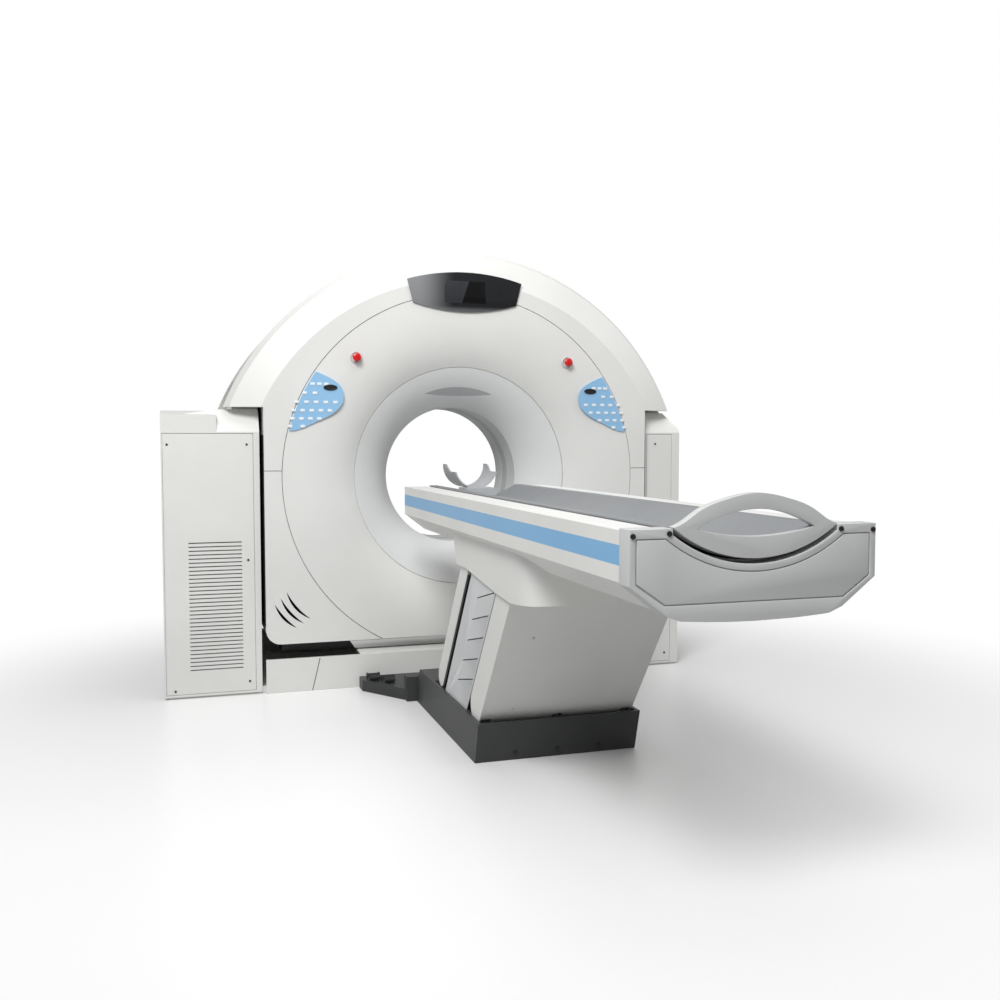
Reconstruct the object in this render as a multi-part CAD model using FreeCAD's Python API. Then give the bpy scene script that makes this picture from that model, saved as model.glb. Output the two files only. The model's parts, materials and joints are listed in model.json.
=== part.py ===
import FreeCAD, Part
import math
import os

from FreeCAD import Vector

os.makedirs("parts", exist_ok=True)

# A tilting ring scanner with its patient table.  Millimetres.
# x to the right seen from the table, y from the table into the gantry, z up from the floor.

# ---- driving sizes: gantry
ISO = 960.0  # height of the bore axis and of the tilt axis
DEPTH = 840.0  # gantry depth along the bore
HALF = 914.0  # half width of the tilting part between the towers
BOTTOM_DROP = 739.0  # bottom of the tilting part below the bore axis
ARCH_R = 1165.0  # outer radius of the arch
ARCH_DROP = 122.0  # arch centre below the bore axis
BEVEL = 143.0  # radial width of the sloping band round the arch
BEVEL_BACK = 90.0  # how far that band recedes
WALL = 6.0  # plastic cover wall
SEAM = 3.0  # open joint line between covers
SEAM_R = 836.0  # round joint line of the centre cover
RING_R = 509.0  # joint line between centre cover and funnel
RING_BACK = 63.0  # that line behind the front plane
BORE_R = 325.0  # patient opening
BORE_FRONT = -170.0
BORE_REAR = 150.0
SPLIT_Z = 30.0  # level joint line of the front covers above the bore axis
TILT_GAP = 9.0  # air between tilting and standing covers
ESTOP_X = 505.0
ESTOP_Z = ISO + 536.0
STEM_R = 13.0
BASE_H = 150.0
PLATE_T = 30.0  # base plate
ANCHOR_R = 9.0
ANCHOR_X = 750.0
ANCHOR_Y = 340.0

# ---- driving sizes: towers
TOWER_FRONT = 30.0  # tower face behind the front plane
CAP_R = 440.0  # tower cap, round about the tilt axis
TOWER_IN = 931.0
LEFT_OUT = 1344.0
RIGHT_OUT = 1118.0
COLUMN_T = 75.0
TRUNNION_R = 60.0

# ---- driving sizes: rotor
DRUM_R = 710.0
FOCUS_R = 560.0  # tube focus from the bore axis
HUB_GAP = 75.0  # between the bore and the rotor's hub
RUN_GAP = 0.05  # radial clearance of every running fit
LOOSE_GAP = 1.0  # radial clearance of the opened pivot
SLIDE_GAP = 0.3  # air between parts that slide
MOTOR_GAP = 1.5  # air gap of the ring motor

# ---- driving sizes: table
HEAD_GAP = 172.0  # from the couch's head end to the gantry front
COUCH_L = 2283.0
COUCH_DROP = 37.0  # couch top below the bore axis
COUCH_HALF = 325.0
SIDE_H = 120.0  # upright part of the couch's sides
COUCH_H = 188.0
COUCH_BOTTOM_HALF = 237.0
END_T = 55.0
CRADLE_HALF = 215.0
CRADLE_R = 350.0  # underside of the cradle
CRADLE_DIP = 72.5  # lowest line of the cradle below the couch top
CRADLE_T = 22.0
LEAN = math.radians(36.5)  # lift arms lean to the foot end
SWING = math.radians(28)  # how far the lift arms fold down
PIVOT_Z = 190.0
PIVOT_DROP = 70.7  # upper pivots below the couch bottom
PIVOT_BACK = 991.0  # near lower pivot behind the couch's head end
ARM_SPACE = 489.0
EAR_R = 26.0  # half width of the ears that hold the lower pins
NEAR_T = 62.0  # half thickness of the near arm
FAR_T = 40.0
ARM_HALF = 290.0
PIN_R = 20.0
PLINTH_H = 150.0
PLINTH_HALF = 305.0
SKIRT_X = 292.0  # outer face of the side skirts
STEP_T = 49.0  # dark step plate on the floor

FRONT = -DEPTH / 2
BACK = DEPTH / 2
HUB_R = BORE_R + HUB_GAP
BEARING_R = HUB_R + 55.0
COUCH_HEAD = FRONT - HEAD_GAP
COUCH_FOOT = COUCH_HEAD - COUCH_L
COUCH_TOP = ISO - COUCH_DROP
COUCH_SIDE_LOW = COUCH_TOP - SIDE_H
COUCH_BOTTOM = COUCH_TOP - COUCH_H
CRADLE_LOW = COUCH_TOP - CRADLE_DIP
NEAR_Y = COUCH_HEAD - PIVOT_BACK
ARM_L = (COUCH_BOTTOM - PIVOT_DROP - PIVOT_Z) / math.cos(LEAN)
BOTTOM = ISO - BOTTOM_DROP
ARCH_Z = ISO - ARCH_DROP
CREASE_R = ARCH_R - BEVEL
NOTCH_R = CAP_R + TILT_GAP
SHOULDER = ISO + math.sqrt(NOTCH_R**2 - (BACK - BEVEL_BACK) ** 2) + 8.0
SPLIT = ISO + SPLIT_Z
TOWER_Y = BACK - TOWER_FRONT
GROOVE_R = math.hypot(BACK, BOTTOM_DROP) + 25.0
BIG = 3000.0


def box(x0, x1, y0, y1, z0, z1):
    return Part.makeBox(x1 - x0, y1 - y0, z1 - z0, Vector(x0, y0, z0))


def rod_x(r, x0, x1, y, z):
    return Part.makeCylinder(r, x1 - x0, Vector(x0, y, z), Vector(1, 0, 0))


def rod_y(r, y0, y1, x=0.0, z=ISO):
    return Part.makeCylinder(r, y1 - y0, Vector(x, y0, z), Vector(0, 1, 0))


def rod_z(r, z0, z1, x, y):
    return Part.makeCylinder(r, z1 - z0, Vector(x, y, z0), Vector(0, 0, 1))


def ring_y(r0, r1, y0, y1, x=0.0, z=ISO):
    return rod_y(r1, y0, y1, x, z).cut(rod_y(r0, y0 - 1, y1 + 1, x, z))


def prism_xz(points, y0, y1):
    wire = Part.makePolygon([Vector(x, y0, z) for x, z in points + points[:1]])
    return Part.Face(wire).extrude(Vector(0, y1 - y0, 0))


def prism_yz(points, x0, x1):
    wire = Part.makePolygon([Vector(x0, y, z) for y, z in points + points[:1]])
    return Part.Face(wire).extrude(Vector(x1 - x0, 0, 0))


def prism_xy(points, z0, z1):
    wire = Part.makePolygon([Vector(x, y, z0) for x, y in points + points[:1]])
    return Part.Face(wire).extrude(Vector(0, 0, z1 - z0))


def turned(points, z=ISO):
    """A closed outline of (radius, y) turned about the y axis at height z."""
    wire = Part.makePolygon([Vector(r, y, z) for r, y in points + points[:1]])
    return Part.Face(wire).revolve(Vector(0, 0, z), Vector(0, 1, 0), 360)


def turned_skin(curve, wall_r, wall_y):
    """A smooth turned skin: the curve of (radius, y) and a copy of it shifted by the wall."""
    a = [Vector(r, y, ISO) for r, y in curve]
    b = [Vector(r + wall_r, y + wall_y, ISO) for r, y in curve]
    front, rear = Part.BSplineCurve(), Part.BSplineCurve()
    front.interpolate(a)
    rear.interpolate(b)
    edges = [
        front.toShape(),
        Part.makeLine(a[-1], b[-1]),
        rear.toShape(),
        Part.makeLine(b[0], a[0]),
    ]
    face = Part.Face(Part.Wire(Part.__sortEdges__(edges)))
    return face.revolve(Vector(0, 0, ISO), Vector(0, 1, 0), 360)


def lune(ends, out, width, y0, y1):
    """A tapered curved slot between two (x, z) ends, bowed sideways by out."""
    (xa, za), (xb, zb) = ends
    length = math.hypot(xb - xa, zb - za)
    nx, nz = (zb - za) / length, -(xb - xa) / length
    a, b = Vector(xa, y0, za), Vector(xb, y0, zb)
    edges = []
    for bow in (out, out - width):
        middle = Vector((xa + xb) / 2 + nx * bow, y0, (za + zb) / 2 + nz * bow)
        edges.append(Part.Arc(a, middle, b).toShape())
    return Part.Face(Part.Wire(edges)).extrude(Vector(0, y1 - y0, 0))


def smooth_prism(curve, corners, y0, y1):
    """A prism along y: a smooth curve of (x, z) points, closed through straight corners."""
    line = Part.BSplineCurve()
    line.interpolate([Vector(x, y0, z) for x, z in curve])
    ring = [curve[-1]] + corners + [curve[0]]
    edges = [line.toShape()]
    for (xa, za), (xb, zb) in zip(ring, ring[1:]):
        edges.append(Part.makeLine(Vector(xa, y0, za), Vector(xb, y0, zb)))
    return Part.Face(Part.Wire(edges)).extrude(Vector(0, y1 - y0, 0))


def flip(shape):
    return shape.mirror(Vector(0, 0, 0), Vector(1, 0, 0))


def both(shape):
    return [shape, flip(shape)]


def fuse(shapes):
    out = shapes[0]
    for s in shapes[1:]:
        out = out.fuse(s)
    return out.removeSplitter()


def cut(shape, tools):
    for t in tools:
        shape = shape.cut(t)
    return shape


def save(name, *shapes):
    solids = [s for shape in shapes for s in shape.Solids]
    Part.makeCompound(solids).exportStep("parts/" + name + ".step")


# ---- tilting covers
def tilting_body(t):
    """The closed outside of the tilting part, drawn in by t all round."""
    profile = [
        (0.0, FRONT + t),
        (CREASE_R - t * 0.3, FRONT + t),
        (ARCH_R - 22 - t * 0.9, FRONT + 46 + t * 0.5),
        (ARCH_R - t, FRONT + BEVEL_BACK),
        (ARCH_R - t, BACK - BEVEL_BACK),
        (ARCH_R - 22 - t * 0.9, BACK - 46 - t * 0.5),
        (CREASE_R - t * 0.3, BACK - t),
        (0.0, BACK - t),
    ]
    upper = turned(profile, ARCH_Z).common(box(-BIG, BIG, -BIG, BIG, SHOULDER + t, BIG))
    lower = box(-HALF + t, HALF - t, FRONT + t, BACK - t, BOTTOM + t, SHOULDER + 2 * t + 1)
    lower = lower.makeFillet(65 - t, [e for e in lower.Edges if level_side(e)])
    body = upper.fuse(lower)
    for x0, x1 in ((HALF - t, ARCH_R + 50), (-ARCH_R - 50, -HALF + t)):
        body = body.cut(rod_x(NOTCH_R + t, x0, x1, 0, ISO))
    return body.removeSplitter()


def level_side(edge):
    """True for the two lower edges that run along y."""
    b = edge.BoundBox
    return b.YLength > 100 and b.XLength < 1 and b.ZLength < 1 and b.ZMax < ISO


shell = tilting_body(0.0).cut(tilting_body(WALL))
front_part = shell.common(box(-BIG, BIG, FRONT - 1, FRONT + 120, 0, BIG))
mid_part = shell.common(box(-BIG, BIG, FRONT + 120 + SEAM, BACK - 120 - SEAM, 0, BIG))
rear_part = shell.common(box(-BIG, BIG, BACK - 120, BACK + 1, 0, BIG))

disc_hole = rod_y(SEAM_R + SEAM, FRONT - 1, FRONT + 119)
outer_front = front_part.cut(disc_hole)
upper_front = outer_front.common(box(-BIG, BIG, -BIG, 0, SPLIT + SEAM, BIG))
lower_front = outer_front.common(box(-BIG, BIG, -BIG, 0, 0, SPLIT))

# three curved air slots each side, low beside the round joint line
for n in range(3):
    high = (-HALF + 91 - 26 * n, BOTTOM + 233 - 27 * n)
    low = (-HALF + 196 - 31 * n, BOTTOM + 108 - 19 * n)
    lower_front = cut(lower_front, both(lune((low, high), 2 * n - 10, 12, FRONT - 1, FRONT + 20)))

save("upper_front_cover", upper_front)

save("lower_front_cover", lower_front)

# dark pan under the tilting part, kept inside the groove of the base
belly_z = ISO - math.sqrt((GROOVE_R - 10) ** 2 - (BACK - 48) ** 2)
belly = prism_yz(
    [
        (FRONT + 12, BOTTOM),
        (FRONT + 48, belly_z),
        (BACK - 48, belly_z),
        (BACK - 12, BOTTOM),
        (BACK - 18, BOTTOM),
        (BACK - 51, belly_z + WALL),
        (FRONT + 51, belly_z + WALL),
        (FRONT + 18, BOTTOM),
    ],
    -HALF + 70,
    HALF - 70,
)
save("belly_pan", belly)

centre_curve = [
    (SEAM_R, FRONT),
    (SEAM_R - 110, FRONT + 2),
    (RING_R + 120, FRONT + 14),
    (RING_R + 50, FRONT + 36),
    (RING_R, FRONT + RING_BACK),
]
centre = turned_skin(centre_curve, 0.0, WALL)
estop_holes = [rod_y(STEM_R + SLIDE_GAP, FRONT - 5, FRONT + 30, x, ESTOP_Z) for x in (-ESTOP_X, ESTOP_X)]
centre = centre.common(box(-BIG, BIG, -BIG, BIG, BOTTOM, BIG))
save("centre_cover", cut(centre, estop_holes))

flare = RING_R - BORE_R
funnel_curve = [
    (RING_R - SEAM, FRONT + RING_BACK + 2),
    (RING_R - 45, FRONT + RING_BACK + 22),
    (BORE_R + flare * 0.41, (FRONT + RING_BACK + BORE_FRONT) / 2 - 26),
    (BORE_R + flare * 0.14, (FRONT + RING_BACK + BORE_FRONT) / 2 + 38),
    (BORE_R, BORE_FRONT),
]
save("front_funnel", turned_skin(funnel_curve, 4.0, WALL))

rear_curve = [
    (BORE_R, BORE_REAR),
    (BORE_R + flare * 0.147, BORE_REAR + 71),
    (BORE_R + flare * 0.326, BACK - 105),
    (BORE_R + flare * 0.652, BACK - 40),
    (RING_R - SEAM, BACK - 14),
]
save("rear_funnel", turned_skin(rear_curve, 4.0, -WALL))

liner_y = (BORE_FRONT + WALL + SLIDE_GAP, BORE_REAR - WALL - SLIDE_GAP)
liner = ring_y(BORE_R, BORE_R + WALL, *liner_y)
window = ring_y(BORE_R + 1, BORE_R + 4, -40, 40)
liner = liner.cut(ring_y(BORE_R - 1, BORE_R + WALL + 1, -39, 39))
liner = liner.cut(ring_y(BORE_R + 1, BORE_R + 4, -40, 40))
save("bore_liner", liner)
save("scan_window", window)

mid_split = ISO + 220.0
trunnion_holes = both(rod_x(TRUNNION_R + 20, HALF - 20, HALF + 20, 0, ISO))
sides = cut(mid_part.common(box(-BIG, BIG, -BIG, BIG, 0, mid_split)), trunnion_holes)
save("side_covers", sides.cut(box(-SEAM / 2, SEAM / 2, -BIG, BIG, 0, BIG)))
save("top_shell", mid_part.common(box(-BIG, BIG, -BIG, BIG, mid_split + SEAM, BIG)))
rear = rear_part.cut(rod_y(RING_R, BACK - 119, BACK + 1))
save("rear_cover", rear)

# ---- tilt frame: rear plate, cheeks, trunnions, cover carrier
plate_y = BACK - 220.0
plate_t = 50.0
flange_y = BACK - 300.0  # front of the drum's flange
flange_t = 30.0
hub_end = BACK - 120.0
plate = fuse(
    [
        rod_y(DRUM_R + 90, plate_y, plate_y + plate_t),
        box(-HALF + WALL, HALF - WALL, plate_y, plate_y + plate_t, BOTTOM + 70, ISO + 200),
    ]
)
seat_r = BEARING_R + 45.0
plate = plate.common(tilting_body(WALL)).cut(rod_y(seat_r, plate_y - 1, plate_y + plate_t + 1))
cheek = box(HALF - 44, HALF - WALL - 8, -150, plate_y, ISO - 200, ISO + 200)
trunnion = rod_x(TRUNNION_R, HALF - 44, TOWER_IN + 9 + COLUMN_T + 60, 0, ISO)
trunnion = trunnion.fuse(rod_x(TRUNNION_R + 12, HALF - 44, HALF - 2, 0, ISO))
save("tilt_frame", fuse([plate] + both(cheek.fuse(trunnion))))

bearing = ring_y(BEARING_R + RUN_GAP, seat_r, plate_y - 10, plate_y + plate_t + 10)
save("main_bearing", bearing)

strut_r = SEAM_R + 2.0
carrier_y = FRONT + WALL + SLIDE_GAP
carrier = ring_y(SEAM_R - 34, SEAM_R + 38, carrier_y, carrier_y + 14)
carrier = carrier.common(box(-HALF + 7, HALF - 7, -BIG, BIG, BOTTOM + WALL, BIG))
inner_ring = ring_y(RING_R + 4, RING_R + 34, FRONT + RING_BACK + WALL + SLIDE_GAP, FRONT + RING_BACK + 24)
spokes = []
for angle in (45, 135, 225, 315):
    bar = box(RING_R + 20, SEAM_R - 20, FRONT + RING_BACK + 10, FRONT + RING_BACK + 22, ISO - 15, ISO + 15)
    bar = bar.fuse(box(SEAM_R - 28, SEAM_R - 16, carrier_y, FRONT + RING_BACK + 22, ISO - 15, ISO + 15))
    bar.rotate(Vector(0, 0, ISO), Vector(0, 1, 0), angle)
    spokes.append(bar)
side_bars = both(box(SEAM_R + 30, HALF - WALL - SLIDE_GAP, carrier_y, carrier_y + 14, SPLIT - 15, SPLIT + 18))

struts = []
for angle in (40, 140, 220, 320):
    x = strut_r * math.cos(math.radians(angle))
    z = ISO + strut_r * math.sin(math.radians(angle))
    struts.append(box(x - 16, x + 16, carrier_y + 14, plate_y, z - 16, z + 16))
feet = []
for angle in (40, 140, 220, 320):
    x = strut_r * math.cos(math.radians(angle))
    z = ISO + strut_r * math.sin(math.radians(angle))
    inner = box(min(x, x * 0.8), max(x, x * 0.8), plate_y - 12, plate_y, z - 30, z + 30)
    feet.append(inner)
posts = []
for x, z in ((600, 450), (800, -500)):
    posts += both(rod_y(18, plate_y + plate_t, BACK - WALL - SLIDE_GAP, x, ISO + z))
rib = box(-20, 20, plate_y, plate_y + plate_t, ISO + DRUM_R + 90 - 4, BIG)
rib = rib.common(tilting_body(WALL + SLIDE_GAP)).cut(plate)
save("cover_carrier", fuse([carrier, inner_ring] + spokes + side_bars + struts + feet), rib, *posts)

# ---- front furniture
lens_top, lens_low = ISO + 936.0, ISO + 754.0
lens_y = FRONT - 9
lens = rod_y(942, lens_y, FRONT, 0, lens_top - 942).common(rod_y(836, lens_y, FRONT, 0, lens_low + 836))
blunt = [(-246, lens_low + 37), (-274, lens_top - 36), (-262, lens_top), (262, lens_top)]
blunt += [(274, lens_top - 36), (246, lens_low + 37), (240, lens_low), (-240, lens_low)]
save("display_panel", lens.common(prism_xz(blunt, lens_y, FRONT)))

for name, x in (("left", -ESTOP_X), ("right", ESTOP_X)):
    stem = rod_y(STEM_R, FRONT - 16, FRONT + 14, x, ESTOP_Z)
    save(name + "_emergency_button", fuse([stem, rod_y(20, FRONT - 26, FRONT - 15, x, ESTOP_Z)]))


def keypad():
    """A leaf-shaped key panel whose outer side follows the round joint line."""
    r = SEAM_R + 30
    top, tip = math.radians(146), math.radians(165.6)
    edge = [(r * math.cos(top), ISO + r * math.sin(top)), (-688, ISO + 471), (-618, ISO + 440)]
    edge += [(-568, ISO + 392), (-566, ISO + 340), (-602, ISO + 293), (-690, ISO + 246)]
    edge += [(-797, ISO + 208), (r * math.cos(tip), ISO + r * math.sin(tip))]
    leaf = smooth_prism(edge, [], FRONT - 5, FRONT)
    return leaf.common(rod_y(SEAM_R - 5, FRONT - 6, FRONT + 1))


save("keypads", *both(keypad()))

# ---- rotor
drum = fuse(
    [
        ring_y(HUB_R, DRUM_R, flange_y, flange_y + flange_t),
        ring_y(DRUM_R - 18, DRUM_R, -190, flange_y + flange_t),
        ring_y(HUB_R, HUB_R + 20, flange_y + flange_t, hub_end),
        ring_y(HUB_R + 20, BEARING_R, plate_y - 10, plate_y + plate_t + 10),
    ]
)
save("rotor_drum", drum)
focus_z = ISO + FOCUS_R
tube = fuse(
    [
        rod_y(84, -150, flange_y - 24, 0, focus_z),
        rod_y(60, flange_y - 24, flange_y, 0, focus_z),
        rod_y(62, -180, -150, 0, focus_z),
        box(-40, 40, -50, 50, focus_z - 100, focus_z - 60),
    ]
)
save("xray_tube", tube)
jaws = box(-110, 110, -60, flange_y, ISO + BORE_R + 47, focus_z - 120)
jaws = jaws.cut(box(-80, 80, -14, 14, ISO + BORE_R, focus_z))
save("collimator", jaws, box(-40, 40, -45, 45, focus_z - 120, focus_z - 100))


def at_angle(shape, degrees):
    out = shape.copy()
    out.rotate(Vector(0, 0, ISO), Vector(0, 1, 0), degrees)
    return out


cooler = box(-130, 130, -120, flange_y, ISO + 470, ISO + 640)
for n in range(9):
    cooler = cooler.cut(box(-112 + 26 * n, -100 + 26 * n, -121, flange_y - 30, ISO + 520, ISO + 641))
save("tube_cooler", at_angle(cooler, 42))
tank = box(-140, 140, -110, flange_y, ISO + 450, ISO + 650)
save("high_voltage_tank", at_angle(tank, -42))
save("balance_weight", at_angle(box(-120, 120, -60, flange_y, ISO + 500, ISO + 620), -92))


def fan_sector(r0, r1, y0, y1, half_angle):
    """A ring sector about the tube focus, opening downwards."""
    h = r1 * 1.2
    w = h * math.tan(math.radians(half_angle))
    wedge = prism_xz([(0, focus_z), (-w, focus_z - h), (w, focus_z - h)], y0 - 1, y1 + 1)
    return ring_y(r0, r1, y0, y1, 0, focus_z).common(wedge)


save("detector_array", fan_sector(965, 1005, -50, 50, 25).fuse(fan_sector(1005, 1035, -70, flange_y, 26)))
tracks = ring_y(HUB_R + 20, HUB_R + 150, hub_end - 16, hub_end)
save("slip_ring", tracks.fuse(ring_y(HUB_R + 60, HUB_R + 70, hub_end - 20, hub_end - 16)))

brush_end = hub_end + 30
brush = box(-60, 60, hub_end + SLIDE_GAP, brush_end, ISO + HUB_R + 40, ISO + HUB_R + 140)
brush_arm = box(-60, 60, plate_y + plate_t, brush_end, ISO + HUB_R + 160, ISO + HUB_R + 190)
brush_arm = brush_arm.fuse(box(-60, 60, brush_end - 18, brush_end, ISO + HUB_R + 130, ISO + HUB_R + 190))
save("brush_block", fuse([brush, brush_arm]))

# ring motor stator on the frame plate, behind the drum
save("ring_motor", ring_y(seat_r + 25, seat_r + 95, flange_y + flange_t + MOTOR_GAP, plate_y))

# ---- standing part: base, columns, bearings
base_y = TOWER_Y - WALL - 2
base = box(-LEFT_OUT + 14, RIGHT_OUT - 12, -base_y, base_y, 0, PLATE_T)
walls = [
    box(-HALF, HALF, FRONT + 20, FRONT + 32, 0, BASE_H),
    box(-HALF, HALF, BACK - 32, BACK - 20, 0, BASE_H),
]
base = fuse([base, box(-HALF, HALF, FRONT + 20, BACK - 20, 0, PLATE_T)] + walls)
for x in (-ANCHOR_X, ANCHOR_X):
    for y in (-ANCHOR_Y, ANCHOR_Y):
        base = base.cut(rod_z(ANCHOR_R, -1, PLATE_T + 1, x, y))
save("gantry_base", base)

column = fuse(
    [
        box(TOWER_IN + 9, TOWER_IN + 9 + COLUMN_T, -130, 130, PLATE_T, ISO + 110),
        box(TOWER_IN + 9, TOWER_IN + 9 + COLUMN_T, -260, 260, PLATE_T, PLATE_T + 160),
    ]
)
column = column.cut(rod_x(TRUNNION_R + RUN_GAP, TOWER_IN, TOWER_IN + 20 + COLUMN_T, 0, ISO))
save("tower_columns", *both(column))
gear_x = TOWER_IN + 9 + COLUMN_T
gearbox = rod_x(150, gear_x, gear_x + 56, 0, ISO).fuse(box(gear_x, gear_x + 56, -80, 80, ISO - 330, ISO))
gearbox = gearbox.cut(rod_x(TRUNNION_R + RUN_GAP, gear_x - 1, gear_x + 70, 0, ISO))
gearbox = gearbox.fuse(rod_x(52, gear_x + 4, gear_x + 120, 0, ISO - 260))
save("tilt_gearmotor", flip(gearbox))

# ---- tower covers
cap_rise = math.sqrt(CAP_R**2 - TOWER_Y**2)


def tower_side(t):
    """Side view of a tower, drawn in by t, from the floor to the round cap."""
    r, y = CAP_R - t, TOWER_Y - t
    a0 = math.acos(y / r)
    pts = [(y, -1.0 if t else 8.0)]
    for n in range(25):
        a = a0 + (math.pi - 2 * a0) * n / 24
        pts.append((r * math.cos(a), ISO + r * math.sin(a)))
    pts.append((-y, pts[0][1]))
    return pts


def tower(x_in, x_out, top, t):
    """A tower solid between two planes, under a front-view roof line of (x, z) points."""
    side = prism_yz(tower_side(t), x_in + t, x_out - t)
    roof = [(x_in - 10, -20.0), (x_in - 10, top[0][1] - t)] + [(x, z - t) for x, z in top]
    roof += [(x_out + 10, top[-1][1] - t), (x_out + 10, -20.0)]
    return side.common(prism_xz(roof, -BIG, BIG))


crown = ISO + CAP_R - 5
right_top = [(TOWER_IN + 84, crown), (TOWER_IN + 110, ISO + 302)]
right_top += [(RIGHT_OUT - 62, ISO + 302), (RIGHT_OUT, ISO + 217)]
left_top = [(TOWER_IN + 84, crown), (TOWER_IN + 110, ISO + 302), (1097, ISO + 302), (LEFT_OUT, ISO + 268)]
cap_line = ISO + 205.0
in_hole = rod_x(TRUNNION_R + 20, TOWER_IN - 1, TOWER_IN + WALL + 1, 0, ISO)

right_shell = tower(TOWER_IN, RIGHT_OUT, right_top, 0).cut(tower(TOWER_IN, RIGHT_OUT, right_top, WALL))
slot_y = base_y + SLIDE_GAP
floor_slot = box(TOWER_IN - 1, TOWER_IN + WALL + 1, -slot_y, slot_y, 0, PLATE_T + SLIDE_GAP)
right_shell = cut(right_shell, [in_hole, floor_slot])


def lid(t):
    """The raised lid on the outer side of the left tower, drawn in by t."""
    low, y0 = cap_line - 60, -TOWER_Y + t
    side = [(y0, low), (y0, ISO + 276 - t), (-150, ISO + 300 - t), (-150, low)]
    return prism_yz(side, 1112 + t, LEFT_OUT - t)


left_body = [tower(TOWER_IN, LEFT_OUT, left_top, t).fuse(lid(t)) for t in (0, WALL)]
left_shell = left_body[0].cut(left_body[1])
left_shell = flip(cut(left_shell, [in_hole, floor_slot]))
below = box(-BIG, BIG, -BIG, BIG, -BIG, cap_line)
above = box(-BIG, BIG, -BIG, BIG, cap_line, BIG)
save("left_cap", left_shell.common(above))
save("right_cap", right_shell.common(above))

face_y = -TOWER_Y
panel_x0, panel_x1 = -LEFT_OUT + 8, -TOWER_IN - 28
slit_x0, slit_x1, slit_low, slit_count, slit_pitch = -LEFT_OUT + 108, -LEFT_OUT + 332, 121.0, 33, 17.4
door_hole = box(panel_x0 - 2, panel_x1 + 2, face_y - 1, face_y + WALL + 1, 18, cap_line - 8)
save("left_cabinet_cover", left_shell.common(below).cut(door_hole))
door = box(panel_x0, panel_x1, face_y, face_y + WALL, 20, cap_line - 10)
for n in range(slit_count):
    z = slit_low + slit_pitch * n
    door = door.cut(box(slit_x0, slit_x1, face_y - 1, face_y + WALL + 1, z, z + 5))
edges = [
    box(-LEFT_OUT + WALL, panel_x0 + 16, face_y + WALL, face_y + WALL + 8, PLATE_T + 6, cap_line - 10),
    box(panel_x1 - 16, panel_x1 + 10, face_y + WALL, face_y + WALL + 8, PLATE_T + 6, cap_line - 10),
]
save("left_front_panel", fuse([door] + edges))

door_x = RIGHT_OUT - 44
right_hole = box(TOWER_IN + 8, door_x + 2, face_y - 1, face_y + WALL + 1, 18, cap_line - 8)
save("right_tower_cover", right_shell.common(below).cut(right_hole))
right_door = [
    box(TOWER_IN + 10, door_x, face_y, face_y + WALL, 20, cap_line - 10),
    box(TOWER_IN + WALL, TOWER_IN + 22, face_y + WALL, face_y + WALL + 8, PLATE_T + 6, cap_line - 10),
    box(door_x - 12, door_x + 10, face_y + WALL, face_y + WALL + 8, PLATE_T + 6, cap_line - 10),
]
save("right_front_panel", fuse(right_door))

# ---- left cabinet contents
rack = fuse(
    [
        box(-1310, -1290, -250, -230, PLATE_T, 1100),
        box(-1310, -1290, 230, 250, PLATE_T, 1100),
        box(-1190, -1170, -250, -230, PLATE_T, 1100),
        box(-1190, -1170, 230, 250, PLATE_T, 1100),
        box(-1310, -1170, -250, 250, 300, 312),
        box(-1310, -1170, -250, 250, 640, 652),
        box(-1310, -1170, -250, 250, 1088, 1100),
    ]
)
units = [box(-1288, -1192, -220, 220, 312, 560), box(-1288, -1192, -220, 220, 652, 860)]
save("power_cabinet", fuse([rack] + units))
inlet = box(-1180, -1060, TOWER_Y, TOWER_Y + 10, 60, 140)
save("cable_inlet", inlet.fuse(rod_y(22, TOWER_Y, TOWER_Y + 26, -1120, 100)))

# ---- floor plate with pedals
plinth_near, plinth_far = NEAR_Y - 87, FRONT - 305
far_y = NEAR_Y + ARM_SPACE
well_far = far_y + 94  # far end of the plinth's well
step_near = plinth_far + 30
half_step = [(499, FRONT + 20 - SLIDE_GAP), (499, FRONT - 60), (349, step_near), (349, plinth_far)]
step = prism_xy([(-x, y) for x, y in half_step] + half_step[::-1], 0, STEP_T)
pedal_spots = [(-445.0, FRONT - 64), (-390.0, FRONT - 125)]
pockets, brackets, names = [], [], ["outer", "inner"]
pedals = {}
for (x, y), name in zip(pedal_spots, names):
    arm = box(x - 22, x + 22, y - 34, y + 34, STEP_T + 10, STEP_T + 18)
    hub = rod_x(9, x - 22, x + 22, y + 34, STEP_T + 14)
    pedal = fuse([arm, hub]).cut(rod_x(4 + RUN_GAP, x - 30, x + 30, y + 34, STEP_T + 14))
    pedals["left_" + name] = pedal
    pedals["right_" + name] = flip(pedal)
    ears = [
        box(x - 30, x - 22 - SLIDE_GAP, y + 24, y + 44, STEP_T, STEP_T + 24),
        box(x + 22 + SLIDE_GAP, x + 30, y + 24, y + 44, STEP_T, STEP_T + 24),
        rod_x(4, x - 30, x + 30, y + 34, STEP_T + 14),
    ]
    brackets += both(fuse(ears))
for name, pedal in pedals.items():
    save(name + "_pedal", pedal)
hump = box(-349, -286, plinth_far, step_near + 19, STEP_T, STEP_T + 58)
save("step_plate", fuse([step] + both(hump) + brackets))

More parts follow.
